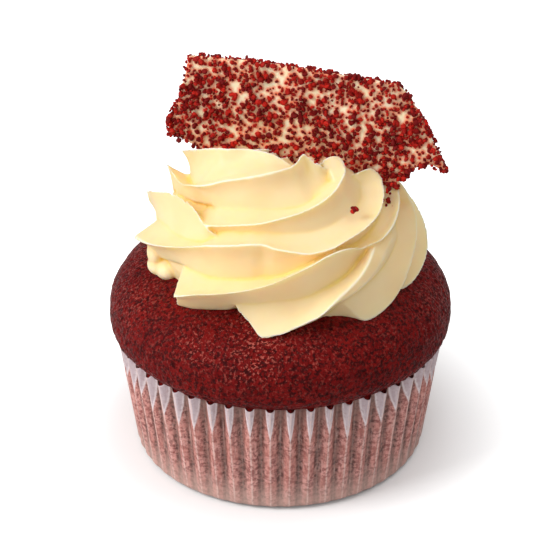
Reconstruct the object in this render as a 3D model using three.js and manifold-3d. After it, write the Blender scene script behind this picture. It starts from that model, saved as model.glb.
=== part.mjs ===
// Cupcake: a domed sponge in a fluted paper case, topped with a piped swirl of
// cream cheese frosting and a broken shard of white chocolate standing in it.
//
// Millimetres, +Z up. The origin is the centre of the paper case's flat base,
// on the surface the cupcake stands on. The front of the cake faces -Y.
// Azimuths are degrees from the front (-Y), positive towards +X.
//
// Four separate bodies: case, cake, frosting, shard. A clear gap of GAP is
// kept between bodies that rest against each other.

import * as THREE from 'three';
import { mergeVertices } from 'three/addons/utils/BufferGeometryUtils.js';
import Module from 'manifold-3d';

const wasm = await Module();
wasm.setup();

// ---------------------------------------------------------------- dimensions
const GAP = 0.3;                 // clearance between touching bodies

// paper case
const FLUTES = 52;               // pleats around the case
const FLUTE_DEPTH = 1.5;         // crest to valley of one pleat, at the rim
const BASE_DEPTH = 0.6;          // the same at the foot of the wall
const PAPER = 0.45;              // thickness of the modelled wall
const RIM_R = 33.8;              // pleat crests at the rim
const RIM_Z = 26.2;              // height of the rim
const FOOT_R = 30.5;             // pleat crests where the wall meets the foot
const FOOT_Z = 1.6;              // top of the rounded corner under the wall
const BASE_R = 28.8;             // flat part of the base
const FIRST_FLUTE = -3.46;       // azimuth of the pleat nearest the front

// sponge dome
const DOME_R = 34.95;            // widest radius of the dome
const DOME_Z = 29.5;             // height of the widest ring
const DOME_RISE = 14.7;          // crown above the widest ring
const DOME_POWER = 2.6;          // squareness of the dome's section
const DOME_SEGMENTS = 48;

// frosting envelope: the surface that the crests of the ridges touch
const SWIRL_R = 30.0;            // widest radius of the swirl
const SWIRL_Z = 45.5;            // height of the widest ring
const SWIRL_RISE = 25.0;         // top of the swirl above the widest ring
const SWIRL_POWER = 2.05;
const SWIRL_TUCK = 0.27;         // narrowing per mm below the widest ring
const CORE_INSET = 5.2;          // body of the swirl inside the crests
const CORE_TOP = 67.2;

// piped ridges, listed in the order in which they leave the sponge.
// start azimuth, sweep, start height, end height, power of the climb,
// radius offset, then the slopes of the upper and lower faces of the ridge
// (degrees, at its start and at its end)
const RIDGES = [
  { start: -47.6, sweep: 150, z0: 41.0, z1: 63.5, climb: 0.50, out: 0.8, upper: [4, 20], lower: [45, 75] },
  { start: -5.7, sweep: 110, z0: 39.9, z1: 63.5, climb: 1.02, out: 0.2, upper: [8, 20], lower: [45, 75] },
  { start: 38.0, sweep: 130, z0: 40.0, z1: 68.0, climb: 0.72, out: -0.6, upper: [10, 20], lower: [45, 75] },
  { start: 64.0, sweep: 150, z0: 41.2, z1: 68.6, climb: 0.62, out: 0.0, upper: [10, 20], lower: [45, 75] },
  { start: 107.0, sweep: 160, z0: 40.5, z1: 69.0, climb: 0.52, out: 0.0, upper: [10, 10], lower: [50, 75] },
  { start: 150.0, sweep: 205, z0: 40.5, z1: 69.6, climb: 0.40, out: 0.0, upper: [10, 6], lower: [55, 75] },
  { start: 188.0, sweep: 199, z0: 40.5, z1: 69.3, climb: 0.40, out: 0.0, upper: [5, -8], lower: [55, 80] },
  { start: 224.0, sweep: 190, z0: 41.0, z1: 68.6, climb: 0.42, out: 0.0, upper: [5, 2], lower: [60, 78] },
  { start: 253.0, sweep: 178, z0: 42.1, z1: 65.5, climb: 0.45, out: -0.6, upper: [30, 15], lower: [50, 78] },
];
const RIDGE_DEPTH = 8.5;         // length of a ridge's faces behind its crest
const RIDGE_STEPS = 20;

// start of the piped rope, a small lobe at the left of the swirl
const TAIL = { azimuth: -78, r: 24.6, z: 43.2, size: [4.6, 4.6, 3.6] };

// white chocolate shard, in its own plane: [along, up] from its foot
const SHARD_T = 3.0;             // thickness of the slab
const SHARD_YAW = 13.3;          // right-hand end turned towards the front
const SHARD_LEAN = 4.0;          // leaning back
const SHARD_Z = 66.0;
const SHARD_OUTLINE = [
  [-18.6, 17.6], [-6.7, 17.9], [7.0, 17.0], [23.0, 15.9], [25.4, 14.2],
  [30.5, 5.0], [33.4, -1.7], [30.4, -0.2], [27.6, -1.0], [24.2, -4.6],
  [22.0, -9.8], [6.0, -8.2], [-15.6, -2.4], [-23.0, 0.8], [-23.2, 2.8],
  [-20.8, 8.5],
];

// ------------------------------------------------------------------- helpers
const rad = (d) => (d * Math.PI) / 180;

/** radius of a ring of the frosting's outer envelope at height z */
function envelope(z) {
  if (z < SWIRL_Z) return SWIRL_R - SWIRL_TUCK * (SWIRL_Z - z);
  const u = Math.min(1, (z - SWIRL_Z) / SWIRL_RISE);
  return SWIRL_R * Math.pow(1 - Math.pow(u, SWIRL_POWER), 1 / SWIRL_POWER);
}

/** point at azimuth a (degrees), radius r, height z */
function polar(a, r, z) {
  return [r * Math.sin(rad(a)), -r * Math.cos(rad(a)), z];
}

function meshOf(positions, index) {
  const g = new THREE.BufferGeometry();
  g.setAttribute('position', new THREE.Float32BufferAttribute(positions.flat(), 3));
  g.setIndex(index);
  return g;
}

/** a closed skin of rings of equal length, each ring one closed section */
function skin(rings) {
  const n = rings[0].length;
  const positions = rings.flat();
  const index = [];
  for (let i = 0; i + 1 < rings.length; i++) {
    for (let k = 0; k < n; k++) {
      const a = i * n + k, b = i * n + ((k + 1) % n);
      const c = a + n, d = b + n;
      index.push(a, d, b, a, c, d);
    }
  }
  for (let k = 1; k + 1 < n; k++) index.push(0, k, k + 1);
  const last = (rings.length - 1) * n;
  for (let k = 1; k + 1 < n; k++) index.push(last, last + k + 1, last + k);
  return meshOf(positions, index);
}

function solid(geometry) {
  let g = geometry.clone();
  g.deleteAttribute('normal');
  g.deleteAttribute('uv');
  g = mergeVertices(g, 1e-5);
  const s = new wasm.Manifold(new wasm.Mesh({
    numProp: 3,
    vertProperties: new Float32Array(g.attributes.position.array),
    triVerts: new Uint32Array(g.index.array),
  }));
  if (s.volume() < 0) throw new Error('inside-out solid');
  return s;
}

function geometryOf(s) {
  const m = s.getMesh();
  const g = new THREE.BufferGeometry();
  g.setAttribute('position', new THREE.BufferAttribute(new Float32Array(m.vertProperties), 3));
  g.setIndex(new THREE.BufferAttribute(new Uint32Array(m.triVerts), 1));
  g.computeVertexNormals();
  return g;
}

/** solid of revolution about +Z from a profile of [r, z] that runs upwards */
function lathe(profile, segments) {
  const g = new THREE.LatheGeometry(profile.map(([r, z]) => new THREE.Vector2(r, z)), segments);
  g.rotateX(Math.PI / 2);
  return g;
}

// ---------------------------------------------------------------- paper case
/** one closed skin: outer pleats from the base up, over the rim, inside down */
function caseGeometry() {
  const perFlute = 4;
  const n = FLUTES * perFlute;
  const wave = [1, 0.35, 0, 0.35];
  // [radius of crests, pleat depth, height] of each outer ring
  const outer = [];
  outer.push([BASE_R, 0.0, 0.0]);
  outer.push([FOOT_R - 0.9, BASE_DEPTH * 0.6, 0.75]);
  outer.push([FOOT_R, BASE_DEPTH, FOOT_Z]);
  outer.push([RIM_R, FLUTE_DEPTH, RIM_Z]);
  const inner = outer.map(([r, d, z], i) => [
    r - PAPER - (i === 0 ? 0.35 : 0), d, i === 0 ? PAPER : i === 1 ? z + PAPER * 0.6 : z,
  ]);
  inner[inner.length - 1][2] = RIM_Z;
  const rings = [...outer, ...inner.reverse()];
  const positions = [];
  for (const [r, d, z] of rings) {
    for (let k = 0; k < n; k++) {
      const a = FIRST_FLUTE + (360 * k) / n;
      positions.push(polar(a, r - d * (1 - wave[k % perFlute]), z));
    }
  }
  const index = [];
  for (let i = 0; i + 1 < rings.length; i++) {
    for (let k = 0; k < n; k++) {
      const a = i * n + k, b = i * n + ((k + 1) % n);
      index.push(a, b, b + n, a, b + n, a + n);
    }
  }
  const bottom = positions.length;
  positions.push([0, 0, 0]);
  const floor = positions.length;
  positions.push([0, 0, PAPER]);
  const top = (rings.length - 1) * n;
  for (let k = 0; k < n; k++) {
    const k1 = (k + 1) % n;
    index.push(bottom, k1, k);
    index.push(floor, top + k, top + k1);
  }
  return meshOf(positions, index);
}

// --------------------------------------------------------------- sponge dome
/** profile of the sponge, grown outwards by extra */
function cakeProfile(extra = 0) {
  const inset = PAPER + GAP + FLUTE_DEPTH;
  const p = [[0, PAPER + GAP - extra], [BASE_R - 1.4 + extra, PAPER + GAP - extra]];
  p.push([FOOT_R - PAPER - GAP - BASE_DEPTH - 0.15 + extra, FOOT_Z + 0.2]);
  p.push([RIM_R - inset + extra, RIM_Z - 0.2]);
  // the dome spills over the rim of the paper
  p.push([RIM_R - inset + 0.35 + extra, RIM_Z + GAP]);
  p.push([RIM_R + 0.55 + extra, RIM_Z + GAP + 0.15]);
  p.push([DOME_R - 0.22 + extra, DOME_Z - 1.5]);
  const rise = DOME_RISE + extra, wide = DOME_R + extra;
  const rows = 7;
  for (let i = 0; i <= rows; i++) {
    const t = rad((90 * i) / rows);
    const c = Math.pow(Math.cos(t), 2 / DOME_POWER), s = Math.pow(Math.sin(t), 2 / DOME_POWER);
    p.push([i === rows ? 0 : wide * c, DOME_Z + rise * s]);
  }
  return p;
}

// ------------------------------------------------------------------ frosting
/** one ridge of the piped rope: a wedge swept along its rising crest */
function ridge({ start, sweep, z0, z1, climb, out, upper, lower }) {
  const rings = [];
  for (let i = 0; i <= RIDGE_STEPS; i++) {
    // finer steps near the start, where the ridge climbs quickly
    const u = Math.pow(i / RIDGE_STEPS, 1.25);
    const at = (v) => ({ a: start + sweep * v, z: z0 + (z1 - z0) * Math.pow(v, climb) });
    const { a, z } = at(u);
    const r = Math.max(2.5, envelope(z) + out);
    const ahead = at(Math.min(1, u + 0.02)), behind = at(Math.max(0, u - 0.02));
    const run = Math.max(0.5, rad(ahead.a - behind.a) * r);
    const slope = Math.min(0.8, (ahead.z - behind.z) / run);
    const up = rad(THREE.MathUtils.lerp(upper[0], upper[1], u));
    const down = rad(THREE.MathUtils.lerp(lower[0], lower[1], u));
    const depth = Math.min(RIDGE_DEPTH, r * 0.8);
    const section = [
      [0, 0],
      [-0.45 * depth * Math.cos(up), 0.45 * depth * Math.sin(up) - 0.35],
      [-depth * Math.cos(up), depth * Math.sin(up)],
      [-depth, -0.7 * depth],
      [-depth * Math.cos(down) - 0.8, -depth * Math.sin(down)],
      [-0.4 * depth * Math.cos(down) - 0.45, -0.4 * depth * Math.sin(down)],
    ];
    rings.push(section.map(([dr, dz]) => {
      const rr = Math.max(0.4, r + dr);
      const twist = THREE.MathUtils.radToDeg((-dz * slope) / Math.max(6, r));
      return polar(a + twist, rr, z + dz);
    }));
  }
  return skin(rings);
}

function coreProfile() {
  const p = [[0, 37.5], [25.0, 37.5]];
  for (let z = 41; z < CORE_TOP; z += 3.2) p.push([Math.max(1, envelope(z) - CORE_INSET), z]);
  p.push([0, CORE_TOP]);
  return p;
}

function tailGeometry() {
  const g = new THREE.SphereGeometry(1, 14, 9);
  g.scale(...TAIL.size);
  g.rotateZ(rad(TAIL.azimuth));
  const [x, y, z] = polar(TAIL.azimuth, TAIL.r, TAIL.z);
  g.translate(x, y, z);
  return g;
}

// --------------------------------------------------------------------- shard
/** the slab's outline grown by extra, extruded to its thickness */
function shardGeometry(extra = 0) {
  const pts = SHARD_OUTLINE.map(([s, t]) => new THREE.Vector2(s, t));
  let outline = pts;
  if (extra > 0) {
    outline = pts.map((p, i) => {
      const a = pts[(i + pts.length - 1) % pts.length], b = pts[(i + 1) % pts.length];
      const e1 = p.clone().sub(a).normalize(), e2 = b.clone().sub(p).normalize();
      const n = new THREE.Vector2(-(e1.y + e2.y), e1.x + e2.x).normalize();
      return p.clone().addScaledVector(n, extra * 1.15);
    });
  }
  const g = new THREE.ExtrudeGeometry(new THREE.Shape(outline), {
    depth: SHARD_T + 2 * extra, bevelEnabled: false, curveSegments: 1,
  });
  // the slab's front face is at y = 0 before it is turned
  g.translate(0, 0, -SHARD_T - extra);
  g.rotateX(Math.PI / 2);
  g.rotateX(-rad(SHARD_LEAN));
  g.rotateZ(-rad(SHARD_YAW));
  g.translate(0, 0, SHARD_Z);
  return g;
}

// -------------------------------------------------------------------- bodies
const grownCake = solid(lathe(cakeProfile(GAP), DOME_SEGMENTS));
const grownShard = solid(shardGeometry(GAP));
let swirl = solid(lathe(coreProfile(), 40)).add(solid(tailGeometry()));
for (const r of RIDGES) swirl = swirl.add(solid(ridge(r)));
swirl = swirl.subtract(grownCake).subtract(grownShard);

// the one body of the swirl; slivers left by the cuts are dropped
const pieces = swirl.decompose().sort((a, b) => b.volume() - a.volume());
const frosting = pieces[0];

function material(color, roughness) {
  return new THREE.MeshStandardMaterial({ color, roughness, metalness: 0 });
}

function body(name, geometry, mat) {
  const m = new THREE.Mesh(geometry, mat);
  m.name = name;
  return m;
}

const cupcake = new THREE.Group();
cupcake.name = 'cupcake';
cupcake.add(body('case', caseGeometry(), material(0xb98a84, 0.55)));
cupcake.add(body('cake', lathe(cakeProfile(), DOME_SEGMENTS), material(0x6b1512, 0.8)));
cupcake.add(body('frosting', geometryOf(frosting), material(0xfae6b0, 0.45)));
cupcake.add(body('shard', shardGeometry(), material(0xf0dab8, 0.5)));

export default cupcake;
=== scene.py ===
import bpy, bmesh, math
import numpy as np
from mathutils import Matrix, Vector


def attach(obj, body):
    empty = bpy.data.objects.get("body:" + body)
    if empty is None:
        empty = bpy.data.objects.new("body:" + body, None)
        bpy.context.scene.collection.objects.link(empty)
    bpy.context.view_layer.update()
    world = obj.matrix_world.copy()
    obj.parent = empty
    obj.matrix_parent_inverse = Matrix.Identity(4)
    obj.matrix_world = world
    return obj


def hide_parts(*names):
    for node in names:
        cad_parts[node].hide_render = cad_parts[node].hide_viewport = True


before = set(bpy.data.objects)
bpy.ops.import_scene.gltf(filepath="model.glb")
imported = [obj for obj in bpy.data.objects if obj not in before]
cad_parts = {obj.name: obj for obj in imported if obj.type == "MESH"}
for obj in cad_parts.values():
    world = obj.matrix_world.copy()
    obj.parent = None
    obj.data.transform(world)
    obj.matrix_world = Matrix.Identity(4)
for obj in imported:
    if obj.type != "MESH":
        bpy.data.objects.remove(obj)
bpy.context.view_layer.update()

MM = 0.001
scene = bpy.context.scene


# ------------------------------------------------------------------ helpers
def smooth(x, a, b):
    t = np.clip((np.asarray(x, float) - a) / (b - a), 0, 1)
    return t * t * (3 - 2 * t)


def hash3(ix, iy, iz, seed):
    h = (ix.astype(np.int64) * 374761393 + iy.astype(np.int64) * 668265263
         + iz.astype(np.int64) * 2147483647 + seed * 974634777) & 0xFFFFFFFF
    h = ((h ^ (h >> 13)) * 1274126177) & 0xFFFFFFFF
    h = ((h ^ (h >> 16)) * 2246822519) & 0xFFFFFFFF
    return ((h ^ (h >> 15)) & 0xFFFFFF) / float(0xFFFFFF)


def vnoise(P, scale, seed=0):
    """smooth value noise in -1..1; scale is the cell size in mm"""
    Q = np.asarray(P, float) / scale
    I = np.floor(Q); F = Q - I
    F = F * F * (3 - 2 * F)
    I = I.astype(np.int64)
    out = 0.0
    for dx in (0, 1):
        for dy in (0, 1):
            for dz in (0, 1):
                w = ((F[..., 0] if dx else 1 - F[..., 0])
                     * (F[..., 1] if dy else 1 - F[..., 1])
                     * (F[..., 2] if dz else 1 - F[..., 2]))
                out = out + w * hash3(I[..., 0] + dx, I[..., 1] + dy, I[..., 2] + dz, seed)
    return out * 2 - 1


def fbm(P, scale, seed=0, octaves=3, gain=0.5):
    out, a, tot = 0.0, 1.0, 0.0
    for o in range(octaves):
        out = out + a * vnoise(P, scale / (2 ** o), seed + 17 * o)
        tot += a; a *= gain
    return out / tot


def mesh_object(name, verts_mm, faces, smooth_shading=True):
    me = bpy.data.meshes.new(name)
    me.from_pydata([tuple(v) for v in (np.asarray(verts_mm) * MM)], [], [tuple(f) for f in faces])
    me.validate()
    me.update()
    if smooth_shading:
        me.polygons.foreach_set("use_smooth", [True] * len(me.polygons))
    ob = bpy.data.objects.new(name, me)
    scene.collection.objects.link(ob)
    return ob


def grid_faces(rows, cols, wrap=True, flip=False):
    """quads of a rows x cols grid of vertices, row major; wrap closes the columns"""
    r = np.arange(rows - 1)[:, None]
    c = np.arange(cols if wrap else cols - 1)[None]
    a = r * cols + c
    b = r * cols + (c + 1) % cols
    f = np.stack([a, b, b + cols, a + cols], -1).reshape(-1, 4)
    return f[:, ::-1] if flip else f


def float_attribute(ob, name, values):
    at = ob.data.attributes.new(name, 'FLOAT', 'POINT')
    at.data.foreach_set("value", np.asarray(values, np.float32).ravel())


def polar(a, r, z):
    a = np.radians(a)
    return np.stack(np.broadcast_arrays(r * np.sin(a), -r * np.cos(a), z), -1)


def srgb(r, g, b):
    def f(c):
        c /= 255.0
        return c / 12.92 if c <= 0.04045 else ((c + 0.055) / 1.055) ** 2.4
    return (f(r), f(g), f(b), 1.0)


class Nodes:
    """small wrapper for building a material"""

    def __init__(self, name):
        self.mat = bpy.data.materials.new(name)
        self.mat.use_nodes = True
        self.nt = self.mat.node_tree
        self.nt.nodes.clear()
        self.out = self.nt.nodes.new("ShaderNodeOutputMaterial")
        self.bsdf = self.nt.nodes.new("ShaderNodeBsdfPrincipled")
        self.link(self.bsdf.outputs[0], self.out.inputs[0])
        self.coord = self.nt.nodes.new("ShaderNodeTexCoord").outputs["Object"]

    def link(self, a, b):
        self.nt.links.new(a, b)

    def node(self, kind, **props):
        n = self.nt.nodes.new(kind)
        for k, v in props.items():
            setattr(n, k, v)
        return n

    def put(self, socket, v):
        if isinstance(v, bpy.types.NodeSocket):
            self.link(v, socket)
        else:
            socket.default_value = v

    def noise(self, scale_mm, detail=3.0, rough=0.55, distortion=0.0, vec=None):
        n = self.node("ShaderNodeTexNoise")
        self.link(vec if vec is not None else self.coord, n.inputs["Vector"])
        n.inputs["Scale"].default_value = 1.0 / (scale_mm * MM)
        n.inputs["Detail"].default_value = detail
        n.inputs["Roughness"].default_value = rough
        n.inputs["Distortion"].default_value = distortion
        return n.outputs["Fac"]

    def voronoi(self, scale_mm, feature='F1', rand=1.0, vec=None):
        n = self.node("ShaderNodeTexVoronoi", feature=feature)
        self.link(vec if vec is not None else self.coord, n.inputs["Vector"])
        n.inputs["Scale"].default_value = 1.0 / (scale_mm * MM)
        n.inputs["Randomness"].default_value = rand
        return n.outputs[0]

    def math(self, op, a, b=None, c=None, clamp=False):
        n = self.node("ShaderNodeMath", operation=op, use_clamp=clamp)
        for i, v in enumerate((a, b, c)):
            if v is not None:
                self.put(n.inputs[i], v)
        return n.outputs[0]

    def ramp(self, fac, a, b, lo=0.0, hi=1.0, smoothstep=True):
        n = self.node("ShaderNodeMapRange", interpolation_type='SMOOTHSTEP' if smoothstep else 'LINEAR')
        self.link(fac, n.inputs[0])
        for i, v in zip((1, 2, 3, 4), (a, b, lo, hi)):
            n.inputs[i].default_value = v
        return n.outputs[0]

    def mix(self, fac, a, b, mode='MIX'):
        n = self.node("ShaderNodeMix", data_type='RGBA', blend_type=mode)
        self.put(n.inputs[0], fac)
        self.put(n.inputs[6], a)
        self.put(n.inputs[7], b)
        return n.outputs[2]

    def stretch(self, x, y, z):
        n = self.node("ShaderNodeVectorMath", operation='MULTIPLY')
        self.link(self.coord, n.inputs[0])
        n.inputs[1].default_value = (x, y, z)
        return n.outputs[0]

    def attr(self, name):
        n = self.node("ShaderNodeAttribute", attribute_name=name)
        return n.outputs["Fac"]

    def bump(self, height, strength, distance_mm, normal=None):
        n = self.node("ShaderNodeBump")
        n.inputs["Strength"].default_value = strength
        n.inputs["Distance"].default_value = distance_mm * MM
        self.link(height, n.inputs["Height"])
        if normal is not None:
            self.link(normal, n.inputs["Normal"])
        return n.outputs[0]

    def set(self, **kw):
        for k, v in kw.items():
            self.put(self.bsdf.inputs[k.replace("_", " ")], v)


# ------------------------------------------------- dimensions, as in the CAD
FLUTES = 52
FIRST_FLUTE = -3.46
FLUTE_DEPTH, BASE_DEPTH = 1.5, 0.35
RIM_R, RIM_Z = 33.8, 26.2
FOOT_R, FOOT_Z = 30.5, 1.6
BASE_R = 28.8
DOME_R, DOME_Z, DOME_RISE, DOME_POWER = 35.15, 29.5, 14.7, 2.6
SWIRL_R, SWIRL_Z, SWIRL_RISE, SWIRL_POWER, SWIRL_TUCK = 30.0, 45.5, 25.0, 2.05, 0.27
CORE_INSET, CORE_TOP = 6.2, 62.6
RIDGE_DEPTH = 8.5


# ------------------------------------------------------------------ frosting
def envelope(z):
    z = np.asarray(z, float)
    u = np.clip((z - SWIRL_Z) / SWIRL_RISE, 0, 1)
    return np.where(z < SWIRL_Z, SWIRL_R - SWIRL_TUCK * (SWIRL_Z - z),
                    SWIRL_R * (1 - u ** SWIRL_POWER) ** (1 / SWIRL_POWER))


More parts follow.
